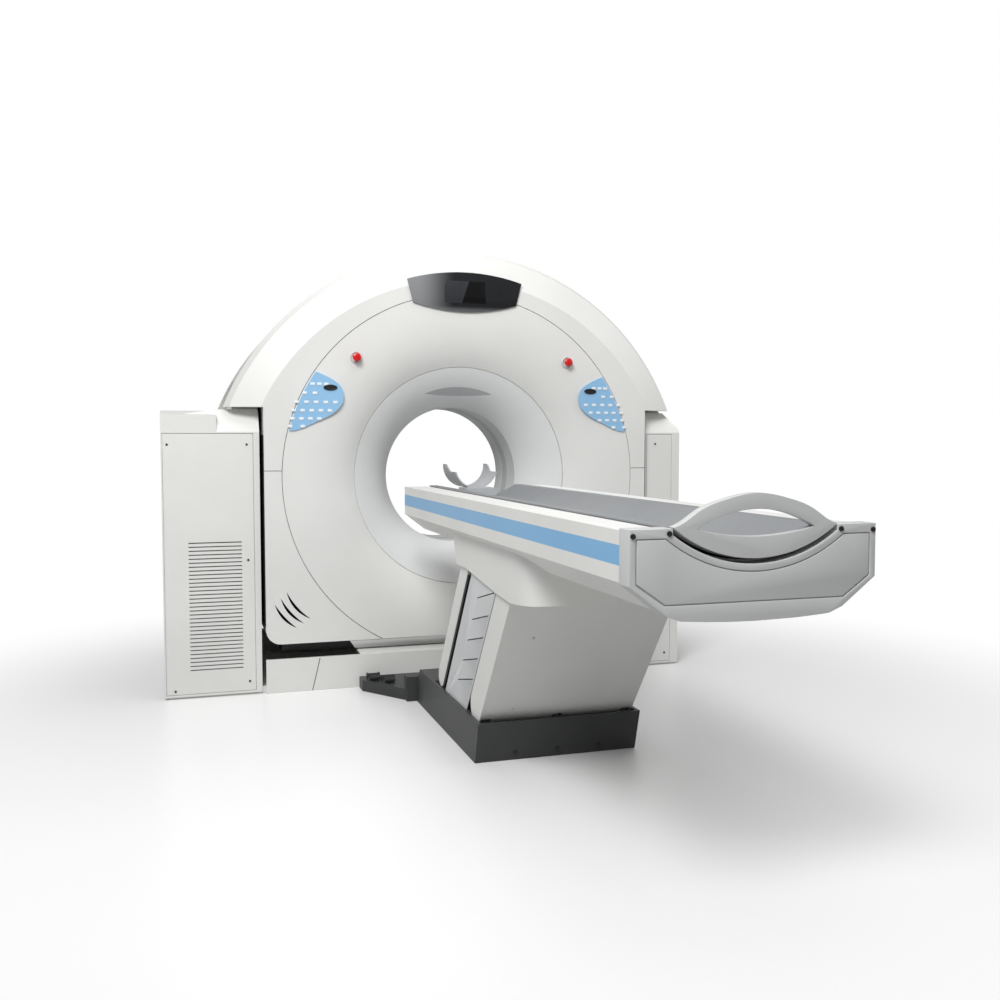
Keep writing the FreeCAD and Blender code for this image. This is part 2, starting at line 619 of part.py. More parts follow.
# ---- table base
nose = plinth_far - SLIDE_GAP
outer = [(plinth_near + 44, 0), (plinth_near, PLINTH_H), (plinth_far - 60, PLINTH_H), (nose, STEP_T + 24), (nose, 0)]
well = [(plinth_near + 54, -1), (plinth_near + 10, PLINTH_H + 1), (well_far, PLINTH_H + 1), (well_far, -1)]
under = [(well_far + 10, -1), (well_far + 10, PLINTH_H - 8), (plinth_far - 66, PLINTH_H - 8)]
under += [(plinth_far - 9, STEP_T + 18), (plinth_far - 9, -1)]
outer = prism_yz(outer, -PLINTH_HALF, PLINTH_HALF)
inner = prism_yz(well, -SKIRT_X - SLIDE_GAP, SKIRT_X + SLIDE_GAP)
inner2 = prism_yz(under, -PLINTH_HALF + 8, PLINTH_HALF - 8)
save("table_plinth", outer.cut(inner).cut(inner2))

clevis = []
floor_frame = box(-SKIRT_X, SKIRT_X, plinth_near + 60, well_far - 4, 0, 20)
for y in (NEAR_Y, far_y):
    for x0, x1 in ((-PLINTH_HALF + 25, -PLINTH_HALF + 55), (PLINTH_HALF - 55, PLINTH_HALF - 25), (-15, 15)):
        ear = box(x0, x1, y - EAR_R, y + EAR_R, 20, PIVOT_Z).fuse(rod_x(EAR_R, x0, x1, y, PIVOT_Z))
        clevis.append(ear)
pins = [rod_x(PIN_R, -PLINTH_HALF + 25, PLINTH_HALF - 25, y, PIVOT_Z) for y in (NEAR_Y, far_y)]
save("table_floor_frame", fuse([floor_frame] + clevis + pins))

up = Vector(0, -math.sin(LEAN), math.cos(LEAN))
top_near = (NEAR_Y - ARM_L * math.sin(LEAN), PIVOT_Z + ARM_L * math.cos(LEAN))
top_far = (far_y - ARM_L * math.sin(LEAN), top_near[1])


def leaning(shape, y):
    """An arm drawn upright over its lower pivot at y, turned to the resting lean."""
    out = shape.copy()
    out.rotate(Vector(0, y, PIVOT_Z), Vector(1, 0, 0), math.degrees(LEAN))
    return out


def arm(y, half_t, top_gap):
    """Two ears with a middle web; bores at both ends."""
    parts = []
    z1 = PIVOT_Z + ARM_L
    for x0, x1 in ((-230, -200), (200, 230)):
        plate_ = box(x0, x1, y - half_t + 14, y + half_t - 14, PIVOT_Z, z1)
        parts += [plate_, rod_x(half_t - 8, x0, x1, y, PIVOT_Z), rod_x(half_t - 8, x0, x1, y, z1)]
    parts.append(box(-200, 200, y - half_t + 14, y + half_t - 14, PIVOT_Z + 150, z1 - 150))
    out = fuse(parts)
    out = out.cut(rod_x(PIN_R + RUN_GAP, -300, 300, y, PIVOT_Z))
    out = out.cut(rod_x(PIN_R + top_gap, -300, 300, y, z1))
    return leaning(out, y)


def arm_cover(y, half_t):
    """A hollow plastic sleeve with round ends, slotted for the ears and lugs of both pivots."""
    z0, z1 = PIVOT_Z, PIVOT_Z + ARM_L
    skins = []
    for t in (0, 5):
        half = half_t - t
        x = ARM_HALF - t
        slab = [box(-x, x, y - half, y + half, z0, z1), rod_x(half, -x, x, y, z0), rod_x(half, -x, x, y, z1)]
        skins.append(fuse(slab))
    out = skins[0].cut(skins[1])
    for x0, x1 in ((-ARM_HALF + 5, -230), (230, ARM_HALF - 5)):
        out = out.fuse(box(x0, x1, y - half_t + 5, y + half_t - 5, (z0 + z1) / 2 - 20, (z0 + z1) / 2 + 20))
    fold = LEAN + SWING
    open_low = EAR_R * math.sin(fold) - (half_t - 5 - EAR_R * math.cos(fold)) / math.tan(fold) + 1
    for x0, x1 in ((-284, -246), (-19, 19), (246, 284)):
        out = out.cut(box(x0, x1, y - half_t - 1, y + half_t + 1, z0 - half_t - 1, z0 + open_low))
    for x0, x1 in ((-200, -176), (176, 200)):
        out = out.cut(box(x0, x1, y, y + half_t + 1, z1 - 22, z1 + half_t + 1))
        out = out.cut(box(x0, x1, y - half_t - 1, y, z1 + 15, z1 + half_t + 1))
    return leaning(out, y)


save("near_arm", arm(NEAR_Y, NEAR_T, RUN_GAP))
save("far_arm", arm(far_y, FAR_T, LOOSE_GAP))
save("near_arm_cover", arm_cover(NEAR_Y, NEAR_T))
save("far_arm_cover", arm_cover(far_y, FAR_T))

# grey side skirts between the arms, with five sloping slits
z0, z1 = PLINTH_H - 60, COUCH_BOTTOM - 35
near_edge = (NEAR_T + 2) / math.cos(LEAN)
far_edge = (FAR_T + 44) / math.cos(LEAN)


def on_lean(y, z):
    return y - (z - PIVOT_Z) * math.tan(LEAN), z


skirt = prism_yz(
    [
        on_lean(NEAR_Y + near_edge, z0),
        on_lean(far_y - far_edge, z0),
        on_lean(far_y - far_edge, z1),
        on_lean(NEAR_Y + near_edge, z1),
    ],
    SKIRT_X - 6,
    SKIRT_X,
)
for n in range(5):
    y, z = on_lean(NEAR_Y + near_edge + 14, PLINTH_H + 129 + 86 * n)
    skirt = skirt.cut(prism_yz([(y, z), (y, z + 4), (y + 200, z - 42), (y + 200, z - 46)], 280, 310))
save("pedestal_skirts", *both(skirt))
gearmotor = rod_x(34, 20, 190, NEAR_Y + 100, 74).fuse(box(20, 90, NEAR_Y + 40, NEAR_Y + 140, 20, 110))
save("lift_gearmotor", gearmotor)

# ---- couch
def couch_profile(t):
    x0, x1 = COUCH_HALF - t, COUCH_BOTTOM_HALF - t * 0.6
    half = [(x1, COUCH_BOTTOM + t), (x0, COUCH_SIDE_LOW + t * 0.3), (x0, COUCH_TOP - t)]
    return [(-x, z) for x, z in half[::-1]] + half


groove_c = CRADLE_LOW + CRADLE_R  # centre height of the cradle arcs
channel_r = CRADLE_R + 5
body = prism_xz(couch_profile(0), COUCH_FOOT, COUCH_HEAD)
hollow = prism_xz(couch_profile(5), COUCH_FOOT + 5, COUCH_HEAD - 5)
hollow = hollow.cut(rod_y(channel_r + 5, COUCH_FOOT, COUCH_HEAD, 0, groove_c))
body = body.cut(rod_y(channel_r, COUCH_FOOT - 1, COUCH_HEAD + 1, 0, groove_c)).cut(hollow)
well_half = COUCH_BOTTOM_HALF - 20
body = body.cut(box(-well_half, well_half, top_near[0] - 166, top_near[0] + 534, 0, COUCH_BOTTOM + 6))
save("couch_body", body)

rail_z = groove_c - math.sqrt((channel_r + 5) ** 2 - 130**2) - 2
frame_bars = [
    box(-210, -180, COUCH_FOOT + 40, COUCH_HEAD - 40, COUCH_BOTTOM + 5, COUCH_BOTTOM + 55),
    box(180, 210, COUCH_FOOT + 40, COUCH_HEAD - 40, COUCH_BOTTOM + 5, COUCH_BOTTOM + 55),
]
for y in (COUCH_FOOT + 60, COUCH_HEAD - 90):
    frame_bars.append(box(-180, 180, y, y + 30, COUCH_BOTTOM + 5, COUCH_BOTTOM + 45))
for y in (top_near[0], top_far[0]):
    for s in (-1, 1):
        x0, x1 = sorted((s * 180, s * 196))
        lug = box(x0, x1, y - 30, y + 30, top_near[1], COUCH_BOTTOM + 20)
        frame_bars.append(lug.fuse(rod_x(30, x0, x1, y, top_near[1])))
    frame_bars.append(rod_x(PIN_R, -240, 240, y, top_near[1]))


hood_half = SKIRT_X + 6
hood_far, hood_bend, hood_round = top_far[0] + 130, top_near[0] - 56, 221.0


def hood_prism(t, z0, z1):
    """The hood in plan, drawn in by t: straight sides and a full round near end."""
    half, reach = hood_half - t, hood_round - t
    near = []
    for n in range(17):
        a = math.pi * n / 16
        x = half * math.copysign(abs(math.cos(a)) ** (2 / 3.5), math.cos(a))
        near.append(Vector(x, hood_bend - reach * math.sin(a) ** (2 / 3.5), z0))
    curve = Part.BSplineCurve()
    curve.interpolate(near)
    a, b = Vector(-half, hood_far - t, z0), Vector(half, hood_far - t, z0)
    edges = [curve.toShape(), Part.makeLine(near[-1], a), Part.makeLine(a, b), Part.makeLine(b, near[0])]
    return Part.Face(Part.Wire(edges)).extrude(Vector(0, 0, z1 - z0))


hood_top = COUCH_SIDE_LOW - 5
hood = hood_prism(0, COUCH_BOTTOM - 175, hood_top).cut(hood_prism(5, COUCH_BOTTOM - 176, hood_top + 1))
rim = [(-366, -85), (-206, -105), (-66, -115), (84, -105), (444, -67), (574, -64), (641, 85), (700, 85)]
rim += [(700, -240), (-366, -240)]
hood = hood.cut(prism_yz([(top_near[0] + y, COUCH_BOTTOM + z) for y, z in rim], -400, 400))
ledge = hood_prism(4, COUCH_BOTTOM - 5, COUCH_BOTTOM)
ledge = ledge.cut(box(-230, 230, hood_bend - 100, hood_far - 40, COUCH_BOTTOM - 6, COUCH_BOTTOM + 1))
hood = hood.fuse(ledge).cut(prism_xz(couch_profile(0), COUCH_FOOT, COUCH_HEAD))
save("pedestal_hood", hood.removeSplitter())

# foot-end plate, in two pieces, with its screws
end_y0, end_y1 = COUCH_FOOT - END_T, COUCH_FOOT
end_top, end_base = COUCH_TOP + 5, COUCH_TOP - 216
end_all = box(-COUCH_HALF, COUCH_HALF, end_y0, end_y1, end_base - 20, end_top)
end_all = end_all.common(rod_y(2300, end_y0, end_y1, 0, end_base + 2300))
slant = [(COUCH_HALF + 1, COUCH_SIDE_LOW - 3), (COUCH_HALF + 1, end_base - 30)]
slant += [(196, end_base - 30), (196, end_base + 8), (234, end_base + 23)]
end_all = cut(end_all, both(prism_xz(slant, end_y0 - 1, end_y1 + 1)))
opening = rod_y(channel_r + 5, end_y0 - 1, end_y1 + 1, 0, groove_c)
opening = opening.common(box(-CRADLE_HALF - 2, CRADLE_HALF + 2, end_y0 - 1, end_y1 + 1, 0, end_top + 1))
end_all = end_all.cut(opening)


def pane(t):
    """The raised middle panel's outline on the end plate, drawn in by t."""
    half = [(309 - t, COUCH_TOP - 17 - t), (309 - t, COUCH_SIDE_LOW - 1 + t), (237 - t, COUCH_TOP - 171 + t)]
    shape = prism_xz([(-x, z) for x, z in half] + half[::-1], end_y0 - 1, end_y0 + 5)
    return shape.cut(rod_y(channel_r + 21 + t, end_y0 - 2, end_y0 + 6, 0, groove_c))


groove = pane(0).cut(pane(3))
save("end_plate", end_all.cut(groove))

# ---- cradle, handle, mat, head holder
def trough(r_out, r_in, half, y0, y1, top):
    arc = ring_y(r_in, r_out, y0, y1, 0, groove_c)
    return arc.common(box(-half, half, y0 - 1, y1 + 1, 0, top))


cradle_y0, cradle_y1 = end_y0 + 26, COUCH_HEAD - 8
cradle = trough(CRADLE_R, CRADLE_R - CRADLE_T, CRADLE_HALF, cradle_y0, cradle_y1, COUCH_TOP + 5)
save("cradle", cradle)

hy0, hy1 = cradle_y0 - 26, cradle_y0
half_arch = [(CRADLE_HALF, 8), (192, 17), (152, 43), (84, 69)]
arch_line = [(x, COUCH_TOP + z) for x, z in half_arch] + [(0, COUCH_TOP + 83)]
arch_line += [(-x, COUCH_TOP + z) for x, z in half_arch[::-1]]
feet = [(-CRADLE_HALF, COUCH_TOP - 80), (CRADLE_HALF, COUCH_TOP - 80)]
arch = smooth_prism(arch_line, feet, hy0, hy1)
hole_top = rod_y(298, hy0 - 1, hy1 + 1, 0, COUCH_TOP + 45 - 298)
lens_hole = hole_top.common(rod_y(610, hy0 - 1, hy1 + 1, 0, COUCH_TOP - 18 + 610))
grip = arch.common(rod_y(CRADLE_R - 3, hy0, hy1, 0, groove_c)).cut(lens_hole)
save("cradle_handle", grip)

hh_y0, hh_y1 = COUCH_HEAD - 8, COUCH_HEAD + 199
rest_r, rest_c, rest_t = 100.0, ISO + 50, 6.0  # round trough of the head holder
rest_top = rest_c + 7


def rest_solid(r, grow):
    trunk = rod_y(r, hh_y0 - grow, hh_y1 + grow, 0, rest_c)
    return trunk.fuse(box(-r, r, hh_y0 - grow, hh_y1 + grow, rest_c, rest_top + grow))


holder = rest_solid(rest_r, 0).common(box(-rest_r, rest_r, hh_y0, hh_y1, 0, rest_top))
holder = holder.cut(rest_solid(rest_r - rest_t, 1))
slope = [(hh_y0 - 1, rest_c - 25), (hh_y0 + 90, rest_c - 25), (hh_y0 + 150, rest_top + 1), (hh_y0 - 1, rest_top + 1)]
holder = holder.cut(prism_yz(slope, -rest_r - 1, rest_r + 1))
foot = box(-70, 70, hh_y0 - 90, hh_y0 + 40, CRADLE_LOW + CRADLE_T + 8, rest_c - 94)
foot = foot.cut(rod_y(rest_r - rest_t, hh_y0 - 100, hh_y0 + 60, 0, rest_c))
foot = foot.cut(rod_y(rest_r - 1, hh_y0, hh_y0 + 60, 0, rest_c))
tongue = foot.cut(trough(CRADLE_R, CRADLE_R - CRADLE_T - 6, CRADLE_HALF, cradle_y0, cradle_y1, COUCH_TOP + 17))
save("head_holder", holder.fuse(tongue))

rail = box(120, 140, COUCH_FOOT + 60, COUCH_HEAD - 10, rail_z - 30, COUCH_TOP).common(
    ring_y(CRADLE_R + SLIDE_GAP, channel_r, COUCH_FOOT + 60, COUCH_HEAD - 10, 0, groove_c)
)
save("couch_frame", fuse(frame_bars), *both(rail))
cmotor = box(-60, 60, COUCH_HEAD - 240, COUCH_HEAD - 120, COUCH_BOTTOM + 5, COUCH_BOTTOM + 70)
screw = rod_y(9, COUCH_FOOT + 90, COUCH_HEAD - 240, 0, COUCH_BOTTOM + 45)
save("cradle_drive", fuse([cmotor, screw]))
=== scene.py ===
import bpy
import bmesh
import json
import math
from mathutils import Matrix, Vector


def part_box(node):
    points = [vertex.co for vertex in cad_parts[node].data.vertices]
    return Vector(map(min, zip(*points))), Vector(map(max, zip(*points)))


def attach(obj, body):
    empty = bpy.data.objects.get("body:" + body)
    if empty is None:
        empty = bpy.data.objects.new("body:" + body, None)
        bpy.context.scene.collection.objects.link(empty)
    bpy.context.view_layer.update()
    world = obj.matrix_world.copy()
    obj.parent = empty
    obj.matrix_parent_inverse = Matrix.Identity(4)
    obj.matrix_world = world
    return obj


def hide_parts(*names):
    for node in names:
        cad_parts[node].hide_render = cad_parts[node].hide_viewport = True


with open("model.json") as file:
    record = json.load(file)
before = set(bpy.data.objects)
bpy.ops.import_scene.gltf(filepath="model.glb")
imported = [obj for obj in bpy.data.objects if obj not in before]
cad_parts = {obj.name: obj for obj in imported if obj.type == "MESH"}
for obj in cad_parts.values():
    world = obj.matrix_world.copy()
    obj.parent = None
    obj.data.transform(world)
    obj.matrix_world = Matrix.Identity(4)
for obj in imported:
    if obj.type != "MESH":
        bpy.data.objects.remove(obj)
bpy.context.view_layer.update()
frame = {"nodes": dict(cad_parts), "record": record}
nodes = frame["nodes"]
record = frame["record"]
pivots = {joint["name"]: joint.get("pos_m") for joint in record["behaviour"]["joints"]}
body_of = {node: name for name, held in record["behaviour"]["bodies"].items() for node in held}
slot_of = {part["node"]: part["material_slot"] for part in record["subparts"]}

ISO = pivots["rotor_spin"][2]  # height of the bore's axis
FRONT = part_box("lower_front_cover")[0][1]  # front face of the covers
COUCH_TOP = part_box("couch_body")[1][2]
COUCH_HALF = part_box("couch_body")[1][0]
LENS_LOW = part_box("display_panel")[0][2]
LENS_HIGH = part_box("display_panel")[1][2]
BLACK = (0.0, 0.0, 0.0, 1.0)
WHITE = (1.0, 1.0, 1.0, 1.0)
QUARTER = math.radians(90)


# ---------------------------------------------------------------- shader maths
class Value:
    """What one output socket gives over a surface, with arithmetic."""

    def __init__(self, owner, socket):
        self.owner, self.socket = owner, socket

    def maths(self, operation, *values):
        return self.owner.add("ShaderNodeMath", {"operation": operation}, dict(enumerate(values)))

    def __add__(self, other):
        return self.maths("ADD", self, other)

    __radd__ = __add__

    def __sub__(self, other):
        return self.maths("SUBTRACT", self, other)

    def __rsub__(self, other):
        return self.maths("SUBTRACT", other, self)

    def __mul__(self, other):
        return self.maths("MULTIPLY", self, other)

    __rmul__ = __mul__

    def abs(self):
        return self.maths("ABSOLUTE", self)

    def smooth(self, low, high):
        """0 below low, 1 above high, and a soft slope between."""
        return self.owner.add(
            "ShaderNodeMapRange",
            {"interpolation_type": "SMOOTHSTEP"},
            {"Value": self, "From Min": low, "From Max": high},
        )


class Nodes:
    """A node tree that is built node by node."""

    def __init__(self, tree):
        self.tree = tree

    def add(self, kind, settings, inputs, output=0):
        """Add a node with its settings and inputs, and give back one of its outputs."""
        node = self.tree.nodes.new(kind)
        for key, value in settings.items():
            setattr(node, key, value)
        for key, value in inputs.items():
            self.feed(node.inputs[key], value)
        return Value(self, node.outputs[output])

    def feed(self, socket, value):
        """Link a value to a socket, or set the socket to a plain number or colour."""
        if isinstance(value, Value):
            self.tree.links.new(value.socket, socket)
        else:
            socket.default_value = value


class Finish(Nodes):
    """One procedural material."""

    def __init__(self, name):
        self.material = bpy.data.materials.new(name)
        self.material.use_nodes = True
        super().__init__(self.material.node_tree)
        self.shader = self.tree.nodes["Principled BSDF"]
        self.place = self.add("ShaderNodeTexCoord", {}, {}, "Object")
        axes = self.add("ShaderNodeSeparateXYZ", {}, {0: self.place}).socket.node.outputs
        self.x, self.y, self.z = (Value(self, socket) for socket in axes)

    def noise(self, scale, detail=3.0, rough=0.55, stretch=(1, 1, 1)):
        at = self.add("ShaderNodeMapping", {}, {"Vector": self.place, "Scale": stretch})
        inputs = {"Vector": at, "Scale": scale, "Detail": detail, "Roughness": rough}
        return self.add("ShaderNodeTexNoise", {}, inputs)

    def reach(self, shift, scale=(1, 1, 1)):
        """Distance from the point that the shift moves to the origin, along the axes with scale 1."""
        at = self.add("ShaderNodeMapping", {}, {"Vector": self.place, "Location": shift, "Scale": scale})
        return self.add("ShaderNodeVectorMath", {"operation": "LENGTH"}, {0: at}, "Value")

    def mix(self, factor, first, second):
        """A colour between two others."""
        return self.add("ShaderNodeMix", {"data_type": "RGBA"}, {0: factor, 6: first, 7: second}, 2)

    def bump(self, height, depth, strength=0.5):
        return self.add("ShaderNodeBump", {}, {"Height": height, "Distance": depth, "Strength": strength})

    def plastic(self, colour, shade, grain=900):
        """A moulding's slow drift of tone, the colour that drifts with it, and its fine grain."""
        slow = self.noise(1.7, 4)
        return slow, self.mix(slow.smooth(0.3, 0.75), colour, shade), self.noise(grain, 2, 0.6)

    def surface(self, **inputs):
        """Feed the shader's inputs, and give back the material."""
        for key, value in inputs.items():
            self.feed(self.shader.inputs[key.replace("_", " ")], value)
        return self.material


def tone(r, g, b):
    """A colour given as display values from 0 to 255."""
    return tuple((v / 255) ** 2.2 for v in (r, g, b)) + (1.0,)


# ---------------------------------------------------------------- finishes
GRAIN_DEPTH = 0.00004  # depth of a moulding's grain


def moulded(name, colour, shade, rough=0.42, grain=900, depth=GRAIN_DEPTH, coat=0.0):
    """Moulded plastic: fine grain, slow changes of tone, a few handling marks."""
    f = Finish(name)
    slow, base, grit = f.plastic(colour, shade, grain)
    marks = f.noise(9, 6, 0.7, (1, 1, 3)).smooth(0.58, 0.74)
    return f.surface(
        Base_Color=base,
        Roughness=rough + slow * 0.08 - 0.04 + marks * 0.05,
        Normal=f.bump(grit, depth),
        Coat_Weight=coat,
        Coat_Roughness=0.25,
    )


def metal(name, colour, rough, metallic=1.0, brushed=(1, 1, 1)):
    """Painted or bare metal, with fine lines where it is brushed."""
    f = Finish(name)
    lines = f.noise(300, 3, 0.6, brushed)
    slow = f.noise(6, 4)
    darker = tuple(c * 0.82 for c in colour[:3]) + (1.0,)
    return f.surface(
        Base_Color=f.mix(slow, colour, darker),
        Roughness=rough + lines * 0.12 + slow * 0.06,
        Metallic=metallic,
        Normal=f.bump(lines, 0.00003),
    )


def couch_paint():
    """Couch body: white moulding with a painted blue band along both sides."""
    f = Finish("couch_white")
    low, high, edge = COUCH_TOP - 0.081, COUCH_TOP - 0.0345, 0.0006
    side = f.x.abs().smooth(COUCH_HALF - 0.0016, COUCH_HALF - 0.0006)
    band = f.z.smooth(low - edge, low) * (1 - f.z.smooth(high, high + edge)) * side
    slow, white, grit = f.plastic(tone(228, 228, 225), tone(221, 221, 218))
    blue = f.mix(slow, tone(128, 182, 224), tone(118, 172, 216))
    return f.surface(
        Base_Color=f.mix(band, white, blue),
        Roughness=0.4 - band * 0.06 + slow * 0.06,
        Normal=f.bump(grit, GRAIN_DEPTH),
    )


def funnel_paint():
    """Front funnel: pale moulding with a crescent window for the positioning lights."""
    f = Finish("front_funnel_white")
    inner, outer, tip_x, edge = 0.378, 0.418, 0.165, 0.0008  # radii at the middle, half width, soft edge
    reach = f.reach((0, 0, -ISO), (1, 0, 1))
    rise = f.x * f.x * ((outer - inner) / tip_x**2)
    window = (reach - (inner + rise)).smooth(-edge, edge) * (1 - reach.smooth(outer - edge, outer + edge))
    window = window * f.z.smooth(ISO, ISO + 0.01)
    slow, pale, grit = f.plastic(tone(226, 227, 227), tone(219, 220, 220))
    return f.surface(
        Base_Color=f.mix(window, pale, tone(182, 184, 186)),
        Roughness=0.36 + slow * 0.08 - 0.04 - window * 0.2,
        Normal=f.bump(grit, GRAIN_DEPTH),
    )


def display_paint():
    """Display lens: black glass, with a painted silvery reflection at its left end and a little along its
    lower edge.
    """
    f = Finish("display_glass")
    # painted reflection: a silvery grey laid over the black glass, strongest at the left end of the lens
    reflection_silver = tone(150, 152, 154)
    left_reflection = 1 - f.x.smooth(-0.235, -0.045)
    # painted reflection along the lower edge of the lens
    low = 1 - (f.z - LENS_LOW).smooth(0.004, 0.030)
    slow = f.noise(7, 3)
    glass = f.mix(slow, tone(34, 35, 37), tone(24, 25, 27))
    return f.surface(
        Base_Color=f.mix(left_reflection * 0.8, f.mix(low * 0.35, glass, reflection_silver), reflection_silver),
        Roughness=0.12 + slow * 0.03,
        Coat_Weight=0.5,
    )


def screen_paint():
    """Screen in the lens: a painted dark grey reflection, black past a slanting line through its middle.
    """
    f = Finish("screen_dark")
    lean = 0.35
    # painted reflection: grey on one side of a slanting edge, black on the other
    edge = (f.x - f.z * lean + lean * (LENS_LOW + LENS_HIGH) / 2).smooth(-0.0015, 0.0015)
    slow = f.noise(9, 3)
    reflection_grey = f.mix(slow, tone(58, 60, 63), tone(46, 48, 51))
    return f.surface(Base_Color=f.mix(edge, reflection_grey, tone(12, 12, 13)), Roughness=0.14 + slow * 0.04)


def floor_paint():
    """Floor: pale and slightly glossy near the machine, melting into the white room beyond."""
    f = Finish("studio_floor")
    far = f.reach((0, 0.8, 0)).smooth(0.9, 3.2)
    seen = f.add("ShaderNodeLightPath", {}, {}, "Is Camera Ray")
    near = f.mix(far, tone(240, 240, 240), BLACK)
    return f.surface(
        Base_Color=f.mix(seen, tone(196, 196, 196), near),
        Roughness=0.30 + f.noise(3, 3) * 0.05,
        Emission_Color=f.mix(far * seen, BLACK, (0.93, 0.93, 0.93, 1.0)),
        Emission_Strength=1.0,
    )


by_slot = {
    "cover_white": moulded("cover_white", tone(228, 228, 225), tone(221, 221, 218)),
    "funnel_white": moulded("funnel_white", tone(214, 216, 216), tone(206, 208, 208), 0.36),
    "end_grey": moulded("end_grey", tone(200, 201, 201), tone(193, 194, 195), 0.4),
    "cradle_grey": moulded("cradle_grey", tone(138, 140, 142), tone(128, 130, 133), 0.42),
    "holder_grey": moulded("holder_grey", tone(186, 188, 190), tone(176, 178, 181), 0.35),
    "skirt_grey": moulded("skirt_grey", tone(208, 210, 211), tone(200, 202, 204), 0.45),
    "floor_black": moulded("floor_black", tone(64, 65, 66), tone(54, 55, 56), 0.45, 500, 0.0001),
    "belly_black": moulded("belly_black", tone(26, 26, 27), tone(20, 20, 21), 0.6, 500, 0.0001),
    "pedal_rubber": moulded("pedal_rubber", tone(38, 38, 39), tone(30, 30, 31), 0.7, 700, 0.0002),
    "stop_red": moulded("stop_red", tone(214, 22, 24), tone(200, 14, 18), 0.28, coat=0.4),
    "window_film": moulded("window_film", tone(190, 192, 190), tone(182, 184, 182), 0.3),
    "display_black": moulded(
        "display_black", tone(22, 23, 25), tone(17, 18, 20), 0.1, 200, 0.000005, coat=0.6
    ),
    "keypad_blue": moulded("keypad_blue", tone(146, 192, 228), tone(138, 184, 221), 0.4),
    "steel_frame": metal("primed_steel", tone(150, 152, 155), 0.5, 0.3),
    "bearing_steel": metal("ground_steel", tone(190, 190, 192), 0.25, brushed=(1, 30, 1)),
    "cast_aluminium": metal("cast_aluminium", tone(205, 206, 208), 0.42),
    "tube_enamel": metal("tube_enamel", tone(176, 178, 182), 0.35, 0.2),
    "weight_iron": metal("weight_iron", tone(92, 92, 94), 0.6, 0.7),
    "slip_brass": metal("slip_brass", tone(196, 168, 110), 0.28, brushed=(1, 40, 1)),
    "motor_grey": metal("motor_grey", tone(74, 77, 81), 0.45, 0.2),
}
screen_dark = screen_paint()
key_white = moulded("key_white", tone(235, 238, 240), tone(228, 232, 235), 0.35)
screw_black = moulded("screw_black", tone(36, 36, 38), tone(28, 28, 30), 0.35, 400, 0.00005)

painted = {"couch_body": couch_paint(), "front_funnel": funnel_paint(), "display_panel": display_paint()}
for node, slot in slot_of.items():
    nodes[node].data.materials.clear()
    nodes[node].data.materials.append(painted.get(node, by_slot[slot]))


# ---------------------------------------------------------------- making pieces
def pick_out(piece):
    """Make a piece active and the only one selected."""
    bpy.ops.object.select_all(action="DESELECT")
    piece.select_set(True)
    bpy.context.view_layer.objects.active = piece


def apply_place(piece):
    """Bake a piece's place into its mesh, so that its object stays at the origin."""
    pick_out(piece)
    bpy.ops.object.transform_apply(location=True, rotation=True, scale=True)


def finish_piece(piece, name, body, slot, finish=None, round_angle=30):
    """Name a made piece, give it the slot's finish or another, and let it ride on its body."""
    apply_place(piece)
    piece.name = name
    piece.data.materials.clear()
    piece.data.materials.append(finish or by_slot[slot])
    bpy.ops.object.shade_smooth_by_angle(angle=math.radians(round_angle))
    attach(piece, body)


def start(kind, **settings):
    """A primitive to start from, alone in the selection."""
    bpy.ops.object.select_all(action="DESELECT")
    getattr(bpy.ops.mesh, "primitive_" + kind + "_add")(**settings)
    return bpy.context.object


def block(at, size, lean=(0, 0, 0)):
    """A plain box of a size about a point."""
    piece = start("cube", size=1, location=at)
    piece.scale = size
    piece.rotation_euler = lean
    apply_place(piece)
    return piece


def disc(at, radius, depth, vertices, scale=(1, 1, 1)):
    """A cylinder along y about a point."""
    piece = start("cylinder", vertices=vertices, radius=radius, depth=depth,
                  rotation=(QUARTER, 0, 0), location=at)
    piece.scale = scale
    apply_place(piece)
    return piece


def edit_whole(operator, **settings):
    """Run one edit-mode operator on the whole of the active piece."""
    bpy.ops.object.mode_set(mode="EDIT")
    bpy.ops.mesh.select_all(action="SELECT")
    getattr(bpy.ops.mesh, operator)(**settings)
    bpy.ops.object.mode_set(mode="OBJECT")


def inset_front(piece, *steps):
    """Inset the faces that look to the front, once for each thickness and depth."""
    bpy.ops.object.mode_set(mode="EDIT")
    bpy.ops.mesh.select_mode(type="FACE")
    bpy.ops.mesh.select_all(action="DESELECT")
    for face in bmesh.from_edit_mesh(piece.data).faces:
        face.select_set(face.normal.y < -0.9)
    bmesh.update_edit_mesh(piece.data)
    for thickness, depth in steps:
        bpy.ops.mesh.inset(thickness=thickness, depth=depth)
    bpy.ops.object.mode_set(mode="OBJECT")


def modify(piece, kind, **settings):
    """Add one modifier and apply it."""
    bpy.context.view_layer.objects.active = piece
    modifier = piece.modifiers.new(kind.lower(), kind)
    for key, value in settings.items():
        setattr(modifier, key, value)
    bpy.ops.object.modifier_apply(modifier=modifier.name)


def rounded(piece, width, segments=3, angle=35):
    """Round the edges that are sharper than the angle."""
    modify(piece, "BEVEL", width=width, segments=segments, limit_method="ANGLE",
           angle_limit=math.radians(angle), harden_normals=False)


def slab(name, low, high, body, slot, finish=None):
    """A plate between two corners with rounded edges."""
    piece = block([(a + b) / 2 for a, b in zip(low, high)], [b - a for a, b in zip(low, high)])
    rounded(piece, 0.001, 2)
    finish_piece(piece, name, body, slot, finish)


def join(pieces):
    """Several made pieces become one."""
    pick_out(pieces[0])
    for piece in pieces:
        piece.select_set(True)
    bpy.ops.object.join()
    return pieces[0]


def screw_head(at, radius, height):
    """A pan head with a dimple, facing the front."""
    piece = disc(at, radius, height, 20)
    inset_front(piece, (radius * 0.25, 0), (radius * 0.3, -height * 0.4))
    rounded(piece, radius * 0.12, 2)
    return piece


